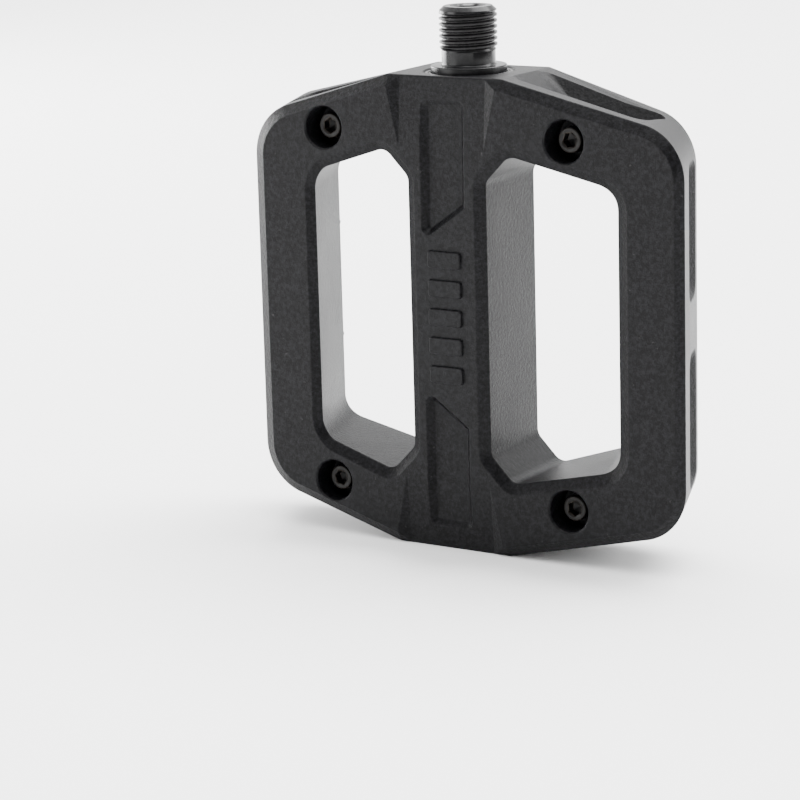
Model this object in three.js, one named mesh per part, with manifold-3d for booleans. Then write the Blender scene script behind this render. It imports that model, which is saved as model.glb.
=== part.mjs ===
// Flat pedal, millimetres, +Z up along the spindle towards the crank.
// Origin: on the spindle axis at the shoulder that seats against the crank arm.
// The smooth face looks along -Y, the pin face along +Y.
import * as THREE from 'three';
import Module from 'manifold-3d';

const wasm = await Module();
wasm.setup();

// ---- driving sizes ----
const bodyLength = 105.2;          // along the spindle
const bodyWidth = 107.2;           // across the rails, measured on either face
const bodyThickness = 25.5;
const flatEndWidth = 28.4;         // square-cut ends of the body
const shoulderDrop = 10.4;         // how far the end walls fall away towards the rails
const outerCornerRadius = 12;
const railLean = 4.8;              // each face is shifted this far sideways at the rails
const edgeChamferWidth = 2.3;
const edgeChamferDepth = 1.5;
const railWidth = 15.6;            // rail at mid thickness
const spineWidth = 19.6;           // spine at mid thickness
const endWallDepth = 16.4;         // end wall measured along the spindle
const windowCutX = 5.8;            // slanted corners of each window beside the spine
const windowCutZ = 5.95;
const screwFromSide = 23.4;
const screwFromEnd = 12.4;
const threadDiameter = 12.7;       // half inch
const threadPitch = 1.27;          // 20 turns per inch
const shoulderStandOff = 1.3;      // spindle shoulder stands above the body end
const spindleReach = 12.8;         // threaded end beyond the shoulder
const bearingBore = 8;
const bearingOuter = 16;
const bearingWidth = 5;
const ballCount = 7;

const valleySink = 1.3;            // spine surface sinks this much at the ends
const valleyLength = 15.6;
const valleyFloor = 10.7;          // half width of the sunk floor
const recessHalfWidth = 5.5;
const recessDepth = 1.5;
const recessWall = 1.35;
const recessShort = 24.3;          // inner end of the panel, measured from mid length
const recessLong = 17;
const recessFromEnd = 5;
const recessCorner = 1.8;

const barRise = 0.6;               // raised grip bars across the spine
const barLength = 8.2;
const barWidth = 3.6;
const barPitch = 6.4;

const sidePocketFromMid = 5.6;
const sidePocketFromEnd = 17;
const sidePocketHeight = 12.2;
const sidePocketDepth = 3.2;
const sidePocketTaper = 3.4;
const sidePocketCentreY = 2.6;
const shoulderPocketFromFlat = 0.2;
const shoulderPocketFromSide = 7.6;
const shoulderPocketHeight = 13.6;
const shoulderPocketDepth = 3.5;
const shoulderPocketTaper = 2.6;
const pocketCornerSpare = 0.2;     // floor corners keep at least this radius

const pinHeight = 4.3;             // moulded pins
const pinFoot = 2.3;
const pinTip = 1.3;
const leftPinFromSide = 6.5;
const rightPinFromSide = 10;
const highPinFromEnd = 20.2;
const lowPinFromMid = 13.3;
const endPinFromFlat = 6.2;
const endPinFromEnd = 8.4;
const lugHeight = 3.6;
const lugTip = 2.7;
const lugFoot = 3.3;
const lugPlaces = [22.6, 30.4];

// ---- clearances ----
const slipGap = 0.1;
const runningGap = 0.05;
const cutMargin = 1;               // cutters reach this far beyond the surface they open
const sliverSize = 0.01;           // features smaller than this left by a cut are merged away

// ---- derived positions ----
const halfT = bodyThickness / 2;
const bodyTop = -shoulderStandOff;
const bodyBottom = bodyTop - bodyLength;
const bodyMid = (bodyTop + bodyBottom) / 2;
const halfW = bodyWidth / 2;
const halfL = bodyLength / 2;
const halfFlat = flatEndWidth / 2;
const shoulderSlope = shoulderDrop / (halfW - halfFlat);
const screwOffsetX = halfW - screwFromSide;
const screwOffsetZ = halfL - screwFromEnd;
const windowOuterX = halfW - railWidth;
const windowInnerX = spineWidth / 2;
const windowPeakX = windowInnerX + windowCutX;
const windowPeakZ = halfL - endWallDepth;
const windowInnerZ = windowPeakZ - windowCutZ;
const windowOuterZ = windowPeakZ - shoulderSlope * (windowOuterX - windowPeakX);

// ---- small helpers ----
function toSolid(geometry) {
  const position = geometry.attributes.position;
  const seen = new Map();
  const vertices = [];
  const remap = [];
  for (let i = 0; i < position.count; i += 1) {
    const p = [position.getX(i), position.getY(i), position.getZ(i)];
    const key = p.map((v) => Math.round(v * 1e4)).join('_');
    if (!seen.has(key)) {
      seen.set(key, vertices.length / 3);
      vertices.push(...p);
    }
    remap.push(seen.get(key));
  }
  const order = geometry.index ? Array.from(geometry.index.array) : remap.map((v, i) => i);
  const triangles = [];
  for (let i = 0; i < order.length; i += 3) {
    const a = remap[order[i]];
    const b = remap[order[i + 1]];
    const c = remap[order[i + 2]];
    if (a !== b && b !== c && c !== a) triangles.push(a, b, c);
  }
  return new wasm.Manifold(new wasm.Mesh({
    numProp: 3,
    vertProperties: new Float32Array(vertices),
    triVerts: new Uint32Array(triangles),
  }));
}

function toGeometry(rawSolid) {
  const solid = rawSolid.simplify(sliverSize);
  const mesh = solid.getMesh();
  const geometry = new THREE.BufferGeometry();
  const flat = [];
  for (let i = 0; i < mesh.numVert; i += 1) {
    for (let k = 0; k < 3; k += 1) flat.push(mesh.vertProperties[i * mesh.numProp + k]);
  }
  geometry.setAttribute('position', new THREE.Float32BufferAttribute(flat, 3));
  geometry.setIndex(Array.from(mesh.triVerts));
  const faceted = geometry.toNonIndexed();
  faceted.computeVertexNormals();
  return faceted;
}

function roundedShape(points) {
  // points: [x, z, radius], counter-clockwise or clockwise, corners replaced by short chords
  const shape = new THREE.Shape();
  const count = points.length;
  const outline = [];
  for (let i = 0; i < count; i += 1) {
    const [x, z, radius = 0, steps = 3] = points[i];
    const before = points[(i + count - 1) % count];
    const after = points[(i + 1) % count];
    if (radius === 0) {
      outline.push([x, z]);
      continue;
    }
    const u = new THREE.Vector2(before[0] - x, before[1] - z).normalize();
    const v = new THREE.Vector2(after[0] - x, after[1] - z).normalize();
    const halfAngle = Math.acos(u.dot(v)) / 2;
    const reach = radius / Math.tan(halfAngle);
    const centre = u.clone().add(v).normalize().multiplyScalar(radius / Math.sin(halfAngle));
    const from = u.clone().multiplyScalar(reach).sub(centre);
    const to = v.clone().multiplyScalar(reach).sub(centre);
    const sweep = Math.atan2(from.x * to.y - from.y * to.x, from.dot(to));
    for (let k = 0; k <= steps; k += 1) {
      const turned = from.clone().rotateAround(new THREE.Vector2(), (sweep * k) / steps);
      outline.push([x + centre.x + turned.x, z + centre.y + turned.y]);
    }
  }
  outline.forEach(([x, z], i) => (i ? shape.lineTo(x, z) : shape.moveTo(x, z)));
  shape.closePath();
  return shape;
}

function slab(shape, yFrom, yTo, bevelSize = 0, bevelDepth = 0) {
  // shape lies in X-Z; the slab fills yFrom..yTo; a bevel narrows (or widens) its ends
  const depth = yTo - yFrom - (bevelSize ? 2 * bevelDepth : 0);
  const geometry = new THREE.ExtrudeGeometry(shape, {
    depth,
    bevelEnabled: bevelSize !== 0,
    bevelSize,
    bevelThickness: bevelDepth,
    bevelOffset: -bevelSize,
    bevelSegments: 1,
    curveSegments: 1,
  });
  geometry.rotateX(Math.PI / 2);
  geometry.translate(0, yTo - (bevelSize ? bevelDepth : 0), bodyMid);
  return geometry;
}

function leanRails(geometry) {
  // rails are carried sideways in proportion to depth, the spine hardly at all
  const position = geometry.attributes.position;
  for (let i = 0; i < position.count; i += 1) {
    const x = position.getX(i);
    const y = position.getY(i);
    const outward = (Math.abs(x) - windowPeakX - 1) / (windowOuterX - 2 - windowPeakX);
    const share = 0.1 + 0.9 * Math.min(1, Math.max(0, outward));
    position.setX(i, x - (share * railLean * y) / halfT);
  }
  return geometry;
}

function lathe(profile, segments, start = 0) {
  // profile: [radius, z] closed on the axis or on itself; spins about Z
  const points = profile.map(([r, z]) => new THREE.Vector2(r, z));
  const geometry = new THREE.LatheGeometry(points, segments, start);
  geometry.rotateX(Math.PI / 2);
  return geometry;
}

function turned(profile, segments, start = 0) {
  const solid = toSolid(lathe(profile, segments, start));
  return solid.volume() < 0 ? toSolid(lathe([...profile].reverse(), segments, start)) : solid;
}

function rod(radius, zFrom, zTo, segments) {
  const geometry = new THREE.CylinderGeometry(radius, radius, Math.abs(zTo - zFrom), segments);
  geometry.rotateX(Math.PI / 2);
  geometry.translate(0, 0, (zFrom + zTo) / 2);
  return toSolid(geometry);
}

function crossRod(x, z, radius, yFrom, yTo, segments) {
  const geometry = new THREE.CylinderGeometry(radius, radius, yTo - yFrom, segments);
  geometry.translate(x, (yFrom + yTo) / 2, z);
  return toSolid(geometry);
}

// ---- pedal body ----
const fullOutline = () => roundedShape([
  [halfFlat, halfL], [halfW, halfL - shoulderDrop, outerCornerRadius, 5],
  [halfW, shoulderDrop - halfL, outerCornerRadius, 5], [halfFlat, -halfL],
  [-halfFlat, -halfL], [-halfW, shoulderDrop - halfL, outerCornerRadius, 5],
  [-halfW, halfL - shoulderDrop, outerCornerRadius, 5], [-halfFlat, halfL],
]);

function windowOutline(side, grow = 0) {
  const corners = [
    [windowInnerX, windowInnerZ, 4], [windowPeakX, windowPeakZ, 2.5],
    [windowOuterX, windowOuterZ, 5, 4], [windowOuterX, -windowOuterZ, 5, 4],
    [windowPeakX, -windowPeakZ, 2.5], [windowInnerX, -windowInnerZ, 4],
  ];
  const placed = corners.map(([x, z, radius, steps]) => [side * x, z, radius + grow, steps]);
  return roundedShape(placed);
}

function windowCutter(side) {
  const clear = toSolid(leanRails(slab(windowOutline(side), -halfT - cutMargin, halfT + cutMargin)));
  // the flare starts a little inside the clear opening so that the two surfaces cross cleanly
  const inset = 0.35;
  const grow = edgeChamferWidth + inset;
  const flareDepth = (edgeChamferDepth * grow) / edgeChamferWidth;
  const flare = new THREE.ExtrudeGeometry(windowOutline(side), {
    depth: 0.6,
    bevelEnabled: true,
    bevelSize: grow,
    bevelThickness: flareDepth,
    bevelOffset: -inset,
    bevelSegments: 1,
    curveSegments: 1,
  });
  flare.rotateX(Math.PI / 2);
  const front = flare.clone().translate(0, -halfT, bodyMid);
  const back = flare.clone().translate(0, halfT + 0.6, bodyMid);
  return clear.add(toSolid(leanRails(front))).add(toSolid(leanRails(back)));
}

function endValley(zSign, ySign) {
  // the spine's surface sinks towards each square-cut end, between two triangular facets
  const rise = (valleySink + cutMargin) / valleySink;
  const top = valleyFloor + (halfFlat - valleyFloor) * rise;
  const shape = new THREE.Shape();
  shape.moveTo(-top, cutMargin);
  shape.lineTo(-valleyFloor, -valleySink);
  shape.lineTo(valleyFloor, -valleySink);
  shape.lineTo(top, cutMargin);
  shape.closePath();
  const overrun = 3;
  const trough = new THREE.ExtrudeGeometry(shape, {
    depth: valleyLength + overrun,
    bevelEnabled: false,
  });
  trough.translate(0, 0, -valleyLength);
  trough.rotateX(Math.atan2(valleySink, valleyLength));
  if (ySign < 0) trough.rotateZ(Math.PI);
  if (zSign < 0) trough.rotateY(Math.PI);
  trough.translate(0, ySign * halfT, bodyMid + zSign * halfL);
  return toSolid(trough);
}

function spineRecess(zSign, ySign) {
  // sunk panel with sloping walls, one long side, its inner end cut on the slant
  const outer = zSign * (halfL - recessFromEnd);
  const corners = [
    [-recessHalfWidth, outer], [recessHalfWidth, outer],
    [recessHalfWidth, zSign * recessShort], [-recessHalfWidth, zSign * recessLong],
  ];
  const shape = roundedShape(corners.map(([x, z]) => [x, z, recessCorner, 2]));
  const above = 1.2;
  const cutter = new THREE.ExtrudeGeometry(shape, {
    depth: above,
    bevelEnabled: true,
    bevelSize: recessWall,
    bevelThickness: recessDepth,
    bevelOffset: -recessWall,
    bevelSegments: 1,
    curveSegments: 1,
  });
  cutter.rotateX(Math.PI / 2);
  cutter.translate(0, halfT + above, bodyMid);
  if (ySign < 0) cutter.rotateZ(Math.PI);
  return toSolid(cutter);
}

function pocketCutter(length, height, depth, taper) {
  // blind pocket opening towards +X, centred on the origin, narrowing to its floor
  const a = length / 2;
  const b = height / 2;
  const cornerRadius = taper + pocketCornerSpare;
  const shape = roundedShape([
    [-b, a, cornerRadius, 2], [b, a, cornerRadius, 2],
    [b, -a, cornerRadius, 2], [-b, -a, cornerRadius, 2],
  ]);
  const cutter = new THREE.ExtrudeGeometry(shape, {
    depth: 2 * cutMargin,
    bevelEnabled: true,
    bevelSize: taper,
    bevelThickness: depth,
    bevelOffset: -taper,
    bevelSegments: 1,
    curveSegments: 1,
  });
  cutter.rotateY(Math.PI / 2);
  cutter.rotateX(Math.PI / 2);
  return cutter;
}

function sidePocket(side, zSign) {
  const far = halfL - sidePocketFromEnd;
  const along = (far + sidePocketFromMid) / 2;
  const length = far - sidePocketFromMid;
  const cutter = pocketCutter(length, sidePocketHeight, sidePocketDepth, sidePocketTaper);
  const y = sidePocketCentreY;
  cutter.rotateZ(Math.atan2(railLean, halfT) / 2);
  cutter.translate(halfW - (railLean * y) / halfT, y, bodyMid + zSign * along);
  if (side < 0) cutter.rotateZ(Math.PI);
  return toSolid(cutter);
}

function shoulderPocket(side, zSign) {
  const fall = Math.atan(shoulderSlope);
  const from = halfFlat + shoulderPocketFromFlat;
  const to = halfW - shoulderPocketFromSide;
  const length = (to - from) / Math.cos(fall);
  const cutter = pocketCutter(length, shoulderPocketHeight, shoulderPocketDepth, shoulderPocketTaper);
  // opening turned from +X to +Z (or -Z), then tipped with the end wall
  cutter.rotateY((-zSign * Math.PI) / 2);
  cutter.rotateY(side * zSign * fall);
  const along = (from + to) / 2;
  const z = halfL - shoulderSlope * (along - halfFlat);
  cutter.translate(side * along, 0, bodyMid + zSign * z);
  return toSolid(cutter);
}

function mouldedPin(x, z) {
  const sunk = 0.3;
  const geometry = new THREE.CylinderGeometry(pinTip, pinFoot, pinHeight + sunk, 8);
  geometry.translate(x, halfT + (pinHeight - sunk) / 2, bodyMid + z);
  return toSolid(geometry);
}

function spineLug(z) {
  const foot = recessDepth + 0.2;
  const geometry = new THREE.CylinderGeometry(lugTip, lugFoot, lugHeight, 6);
  geometry.translate(0.2, halfT - foot + lugHeight / 2, bodyMid + z);
  return toSolid(geometry);
}

function spineBar(index, ySign) {
  const sunk = 0.75;
  const bar = new THREE.BoxGeometry(barLength, barRise + sunk, barWidth);
  const y = halfT + (barRise - sunk) / 2;
  bar.translate(-0.4 * ySign, ySign * y, bodyMid + index * barPitch);
  return toSolid(bar);
}

const screwPlaces = [
  ['upper_left', -screwOffsetX, screwOffsetZ], ['upper_right', screwOffsetX, screwOffsetZ],
  ['lower_left', -screwOffsetX, -screwOffsetZ], ['lower_right', screwOffsetX, -screwOffsetZ],
];
const screwThreadRadius = 1.95;
const screwPitch = 0.8;
const screwHoleRadius = screwThreadRadius + 0.2;
const screwHeadHeight = 4;
const screwHeadRadius = screwThreadRadius + 0.95;
const screwBoreRadius = screwHeadRadius + 1.75;
const screwSeatDepth = 6.8;
const screwReach = 5.7;            // threaded tip beyond the pin face
const screwKey = 3;
const screwKeyDepth = 2.2;
const nutSide = 7;
const nutHeight = 3.2;

// bores along the spindle, measured down from the shoulder
const bearingBoreRadius = bearingOuter / 2 + 0.01;
const bearingStop = 1.01;          // the bore steps in this far behind the bearing
const coreRadius = bearingBoreRadius - bearingStop;
const journalRadius = coreRadius - 1;
const flangeRadius = threadDiameter / 2 + 2;
const sealWall = 1.5;
const sealBoreRadius = flangeRadius + sealWall;
const sealDepth = 3;
const sealBottom = bodyTop - sealDepth;
const bushWall = 1.65;
const bushBoreRadius = journalRadius + runningGap + bushWall;
const bushLength = 20;
const bushBottom = sealBottom - bushLength;
const bearingFromEnd = 18.5;
const bearingTop = bodyBottom + bearingFromEnd;
const bearingBottom = bearingTop - bearingWidth;
const capSpigotGap = 0.21;
const capSpigotRadius = bearingBoreRadius - capSpigotGap;
const capRim = 2.7;
const capRadius = capSpigotRadius + capRim;
const capThickness = 2.4;
const oRingHalf = 0.5;
const washerThickness = 0.8;
const lockNutFlats = 11.5;
const lockNutHeight = 4.6;
const spindleTail = 7;             // threaded tail that carries the washer and lock nut
const spindleEnd = bearingBottom - spindleTail;

function buildBody() {
  const outline = slab(fullOutline(), -halfT, halfT, edgeChamferWidth, edgeChamferDepth);
  let body = toSolid(leanRails(outline));
  for (const side of [-1, 1]) {
    body = body.subtract(windowCutter(side));
    for (const zSign of [-1, 1]) {
      body = body.subtract(sidePocket(side, zSign));
      body = body.subtract(shoulderPocket(side, zSign));
      body = body.subtract(endValley(zSign, side));
      body = body.subtract(spineRecess(zSign, side));
    }
  }
  for (const [, x, z] of screwPlaces) {
    const zw = bodyMid + z;
    body = body.subtract(crossRod(x, zw, screwBoreRadius, -halfT - 1, -halfT + screwSeatDepth, 20));
    body = body.subtract(crossRod(x, zw, screwHoleRadius, -halfT, halfT + 1, 12));
    body = body.subtract(toSolid(squareBlock(x, z, nutSide + 2 * slipGap, nutHeight + 1,
      halfT + 1 - (nutHeight + 1) / 2)));
  }
  body = body.subtract(rod(sealBoreRadius, bodyTop + cutMargin, sealBottom, 36));
  body = body.subtract(rod(bushBoreRadius, sealBottom + cutMargin, bushBottom, 32));
  body = body.subtract(rod(coreRadius, bushBottom + cutMargin, bearingTop - cutMargin, 32));
  body = body.subtract(rod(bearingBoreRadius, bearingTop, bodyBottom - cutMargin, 48));
  body = body.subtract(rod(capRadius + slipGap, bodyBottom - cutMargin, bodyBottom + capThickness, 40));
  for (const zSign of [-1, 1]) {
    for (const x of [leftPinFromSide - halfW, halfW - rightPinFromSide]) {
      body = body.add(mouldedPin(x, zSign * (halfL - highPinFromEnd)));
      body = body.add(mouldedPin(x, zSign * lowPinFromMid));
    }
    for (const side of [-1, 1]) {
      body = body.add(mouldedPin(side * (halfFlat + endPinFromFlat), zSign * (halfL - endPinFromEnd)));
    }
    for (const z of lugPlaces) body = body.add(spineLug(zSign * z));
  }
  for (const ySign of [-1, 1]) {
    for (let k = -2; k <= 2; k += 1) body = body.add(spineBar(k, ySign));
  }
  return body;
}

function squareBlock(x, z, side, height, yCentre) {
  const block = new THREE.BoxGeometry(side, height, side);
  const turn = Math.sign(x) * Math.sign(z) * Math.atan(shoulderSlope);
  block.rotateY(turn);
  block.translate(x, yCentre, bodyMid + z);
  return block;
}

// ---- spindle and its bearings ----
function hexSocket(acrossFlats, zFrom, zTo) {
  const geometry = new THREE.CylinderGeometry(1, 1, Math.abs(zTo - zFrom), 6);
  geometry.scale(acrossFlats / Math.sqrt(3), 1, acrossFlats / Math.sqrt(3));
  geometry.rotateX(Math.PI / 2);
  geometry.translate(0, 0, (zFrom + zTo) / 2);
  return toSolid(geometry);
}

const threadDepth = 0.68;
const threadStart = 3;             // plain neck under the crank thread
const neckUndercut = 0.45;
const crankKey = 6;                // hexagon socket in the threaded end
const crankKeyDepth = 8;

function buildSpindle() {
  const r = threadDiameter / 2;
  const root = r - threadDepth;
  const threadTop = spindleReach - 1;
  const profile = [[0, spindleReach], [r - 1, spindleReach]];
  const turns = Math.floor((threadTop - threadStart) / threadPitch);
  let z = threadTop;
  for (let k = 0; k < turns; k += 1) {
    profile.push([r, z], [root, z - threadPitch / 2]);
    z -= threadPitch;
  }
  profile.push([r, z], [r - neckUndercut, z - 0.5], [r - neckUndercut, 0], [flangeRadius - 0.3, 0]);
  profile.push([flangeRadius, -0.3], [flangeRadius, sealBottom + 1.4], [journalRadius, sealBottom + 1.4]);
  profile.push([journalRadius, bushBottom - 1], [shankRadius, bushBottom - 4]);
  profile.push([shankEndRadius, bearingTop + 0.02]);
  profile.push([bearingBore / 2, bearingTop + 0.02], [bearingBore / 2, bearingBottom]);
  profile.push([bearingBore / 2 - 0.1, bearingBottom - 0.2], [bearingBore / 2 - 0.1, spindleEnd + 0.6]);
  profile.push([bearingBore / 2 - 0.6, spindleEnd], [0, spindleEnd]);
  const solid = turned(profile, 32);
  return solid.subtract(hexSocket(crankKey, spindleReach + 1, spindleReach - crankKeyDepth));
}

function ring(inner, outer, zTop, zBottom, segments) {
  return turned([[inner, zBottom], [outer, zBottom], [outer, zTop], [inner, zTop], [inner, zBottom]],
    segments);
}

// the bearing's rings share out the space between its bore and its outside
const raceSpace = (bearingOuter - bearingBore) / 2;
const ballCircle = (bearingOuter + bearingBore) / 4;
const ballRadius = 0.2975 * raceSpace;
const outerLand = ballCircle + 0.25 * raceSpace;
const innerLand = ballCircle - 0.225 * raceSpace;
const cageHalf = 0.125 * raceSpace;
const shankEndRadius = ballCircle - 0.25 * raceSpace;  // shoulder behind the inner race
const shankRadius = shankEndRadius + 0.2;
const cageReach = 1.75;
const bearingMid = (bearingTop + bearingBottom) / 2;

function raceRing(landRadius, backRadius, grooveSign) {
  // groove cut as a shallow trough that leaves a working gap round the balls
  const grooveRadius = ballRadius + runningGap;
  const profile = [[backRadius, bearingBottom], [landRadius, bearingBottom]];
  const reach = Math.sqrt(grooveRadius ** 2 - (ballCircle - landRadius) ** 2);
  const start = Math.atan2(reach, Math.abs(ballCircle - landRadius));
  for (let k = 0; k <= 4; k += 1) {
    const a = -start + (2 * start * k) / 4;
    profile.push([ballCircle + grooveSign * grooveRadius * Math.cos(a) * 1.02,
      bearingMid + grooveRadius * Math.sin(a) * 1.02]);
  }
  profile.push([landRadius, bearingTop], [backRadius, bearingTop], [backRadius, bearingBottom]);
  return turned(profile, 36);
}

function ballCentre(index) {
  const angle = (index / ballCount) * Math.PI * 2;
  return [ballCircle * Math.cos(angle), ballCircle * Math.sin(angle), bearingMid];
}

function ballSolid(index, radius, wide, high) {
  const geometry = new THREE.SphereGeometry(radius, wide, high);
  geometry.translate(...ballCentre(index));
  return toSolid(geometry);
}

function buildCage() {
  const inner = ballCircle - cageHalf;
  let cage = ring(inner, inner + 2 * cageHalf, bearingMid + cageReach, bearingMid - cageReach, 28);
  for (let k = 0; k < ballCount; k += 1) {
    cage = cage.subtract(ballSolid(k, ballRadius + 0.14, 10, 8));
  }
  return cage;
}

function hexNut(acrossFlats, holeRadius, zTop, zBottom) {
  const hole = rod(holeRadius, zTop + 1, zBottom - 1, 32);
  return hexSocket(acrossFlats, zTop, zBottom).subtract(hole);
}

function buildEndCap() {
  const back = bodyBottom + capThickness;
  const face = bodyBottom + 0.25;
  const spigotTop = back + 2.6;
  const profile = [
    [0, face + 1.1], [capRadius - 4.1, face + 1.1], [capRadius - 2.9, face + 0.5],
    [capRadius - 2.2, face + 0.5], [capRadius - 2, face], [capRadius - 1.2, face],
    [capRadius - 1, face + 0.4], [capRadius - 0.6, face + 0.4], [capRadius - 0.4, face],
    [capRadius, face],
    [capRadius, back - 0.02], [capSpigotRadius, back - 0.02], [capSpigotRadius, back + 0.5],
    [capSpigotRadius - 0.9, back + 0.5], [capSpigotRadius - 0.9, back + 2],
    [capSpigotRadius, back + 2], [capSpigotRadius, spigotTop],
    [capSpigotRadius - 1.6, spigotTop], [capSpigotRadius - 1.6, back], [0, back],
  ];
  return turned(profile, 32);
}

function buildScrew(x, z) {
  const seat = -halfT + screwSeatDepth;
  const tip = halfT + screwReach;
  const r = screwThreadRadius;
  const root = r - 0.36;
  const pitch = screwPitch;
  const profile = [[0, seat - screwHeadHeight], [screwHeadRadius - 0.4, seat - screwHeadHeight]];
  profile.push([screwHeadRadius, seat - screwHeadHeight + 0.4], [screwHeadRadius, seat - 0.01]);
  profile.push([r, seat - 0.01], [r, halfT + 0.2]);
  for (let y = halfT + 0.2; y < tip - 0.9; y += pitch) {
    profile.push([root, y + pitch / 2], [r, y + pitch]);
  }
  profile.push([r - 0.5, tip], [0, tip]);
  let screw = turned(profile, 12);
  screw = screw.subtract(hexSocket(screwKey, seat - screwHeadHeight - 1, seat - screwHeadHeight + screwKeyDepth));
  return screw.rotate([-90, 0, 0]).translate([x, 0, bodyMid + z]);
}

function buildNut(x, z) {
  const middle = halfT - nutHeight / 2 - 0.02;
  const block = toSolid(squareBlock(x, z, nutSide, nutHeight - 0.04, middle));
  return block.subtract(crossRod(x, bodyMid + z, screwThreadRadius + runningGap, 0, bodyThickness, 24));
}

// ---- assembly ----
const finishes = {
  moulded: { color: 0x3a3a3d, roughness: 0.72, metalness: 0 },
  spindleSteel: { color: 0x17171a, roughness: 0.22, metalness: 0.9 },
  brightSteel: { color: 0xb9bcc0, roughness: 0.25, metalness: 1 },
  screwSteel: { color: 0x2a2624, roughness: 0.4, metalness: 0.85 },
  zincNut: { color: 0x8d8f90, roughness: 0.45, metalness: 0.9 },
  sealRubber: { color: 0x0e0e0f, roughness: 0.6, metalness: 0 },
  capPlastic: { color: 0x232326, roughness: 0.45, metalness: 0 },
  bushPolymer: { color: 0xd8d2bd, roughness: 0.55, metalness: 0 },
};

const assembly = new THREE.Group();
assembly.name = 'flat_pedal';

function addPart(name, solid, finish) {
  const mesh = new THREE.Mesh(toGeometry(solid), new THREE.MeshStandardMaterial(finishes[finish]));
  mesh.name = name;
  assembly.add(mesh);
}

addPart('pedal_body', buildBody(), 'moulded');
addPart('spindle', buildSpindle(), 'spindleSteel');
addPart('crank_side_seal', ring(flangeRadius + 0.25, sealBoreRadius - 0.02, bodyTop - 0.3,
  sealBottom + 0.02, 36), 'sealRubber');
addPart('inboard_bush', ring(journalRadius + runningGap, bushBoreRadius - 0.05, sealBottom - 0.1,
  bushBottom, 36), 'bushPolymer');
addPart('bearing_outer_race', raceRing(outerLand, bearingOuter / 2 - 0.03, 1), 'brightSteel');
addPart('bearing_inner_race', raceRing(innerLand, bearingBore / 2 + 0.03, -1), 'brightSteel');
for (let k = 0; k < ballCount; k += 1) {
  addPart(`bearing_ball_${k + 1}`, ballSolid(k, ballRadius, 10, 8), 'brightSteel');
}
addPart('bearing_cage', buildCage(), 'bushPolymer');
const shieldInner = innerLand + 0.2;
const shieldOuter = outerLand - 0.07;
addPart('bearing_shield_inner', ring(shieldInner, shieldOuter, bearingTop - 0.1, bearingTop - 0.35, 36),
  'sealRubber');
addPart('bearing_shield_outer', ring(shieldInner, shieldOuter, bearingBottom + 0.35,
  bearingBottom + 0.1, 36), 'sealRubber');
addPart('thrust_washer', ring(bearingBore / 2 + 0.03, innerLand - 0.2, bearingBottom - 0.02,
  bearingBottom - washerThickness, 32), 'zincNut');
addPart('lock_nut', hexNut(lockNutFlats, bearingBore / 2 + 0.02, bearingBottom - washerThickness - 0.02,
  bearingBottom - washerThickness - lockNutHeight), 'zincNut');
addPart('end_cap', buildEndCap(), 'capPlastic');
const groove = bodyBottom + capThickness + 1.25;
const oRing = new THREE.TorusGeometry(capSpigotRadius - 0.28, oRingHalf, 6, 28);
oRing.translate(0, 0, groove);
addPart('cap_o_ring', toSolid(oRing), 'sealRubber');
for (const [place, x, z] of screwPlaces) {
  addPart(`pin_screw_${place}`, buildScrew(x, z), 'screwSteel');
  addPart(`square_nut_${place}`, buildNut(x, z), 'zincNut');
}

export default assembly;
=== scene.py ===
import math
import bpy
import bmesh
from mathutils import Matrix, Vector


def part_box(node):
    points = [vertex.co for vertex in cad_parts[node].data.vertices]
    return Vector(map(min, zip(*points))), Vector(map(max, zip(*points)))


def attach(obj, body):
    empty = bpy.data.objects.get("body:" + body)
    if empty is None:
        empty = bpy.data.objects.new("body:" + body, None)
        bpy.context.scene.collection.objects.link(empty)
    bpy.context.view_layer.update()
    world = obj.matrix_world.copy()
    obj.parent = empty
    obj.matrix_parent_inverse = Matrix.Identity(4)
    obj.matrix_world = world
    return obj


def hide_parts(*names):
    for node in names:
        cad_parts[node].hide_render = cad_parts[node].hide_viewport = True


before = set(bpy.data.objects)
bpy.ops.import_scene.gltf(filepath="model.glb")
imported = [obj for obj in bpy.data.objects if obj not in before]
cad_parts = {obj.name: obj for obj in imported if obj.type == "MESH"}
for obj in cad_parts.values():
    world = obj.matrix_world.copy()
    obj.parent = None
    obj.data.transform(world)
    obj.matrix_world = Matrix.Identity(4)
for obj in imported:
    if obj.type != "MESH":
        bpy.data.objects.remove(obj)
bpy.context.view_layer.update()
mm = 0.001  # shapes below are drawn in millimetres
print("frame loaded")

bodyLow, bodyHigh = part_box("pedal_body")
bodyTop = bodyHigh.z / mm
bodyBottom = bodyLow.z / mm
bodyMid = (bodyTop + bodyBottom) / 2
halfLength = (bodyTop - bodyBottom) / 2

pedalBody = {
    "thickness": 25.5,
    "width": 107.2,  # across the rails on either face
    "flatEnd": 28.4,  # square-cut ends
    "shoulderDrop": 10.4,  # end walls fall away towards the rails
    "cornerRadius": 12.0,
    "endCornerRadius": 2.5,
    "lean": 4.8,  # rails lean sideways over half the thickness
    "chamferWidth": 2.3,
    "chamferDepth": 1.5,
    "chamferRounding": 0.4,
    "railWidth": 15.6,
    "spineWidth": 19.6,
    "endWall": 16.4,
    "windowStraight": 60.5,
    "windowCut": 5.8,  # slanted window corners beside the spine
    "colour": (0.0018, 0.0018, 0.0021, 1),
    "roughness": 0.4,
    "specular": 0.1,
    "grainHeight": 0.16,  # millimetres
    "grainScale": 3300.0,
    "speckle": 4.0,
    "wearAndGlint": 0.3,
}


# shapes


def slopeOf(shape):
    return shape["shoulderDrop"] / (shape["width"] / 2 - shape["flatEnd"] / 2)


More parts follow.
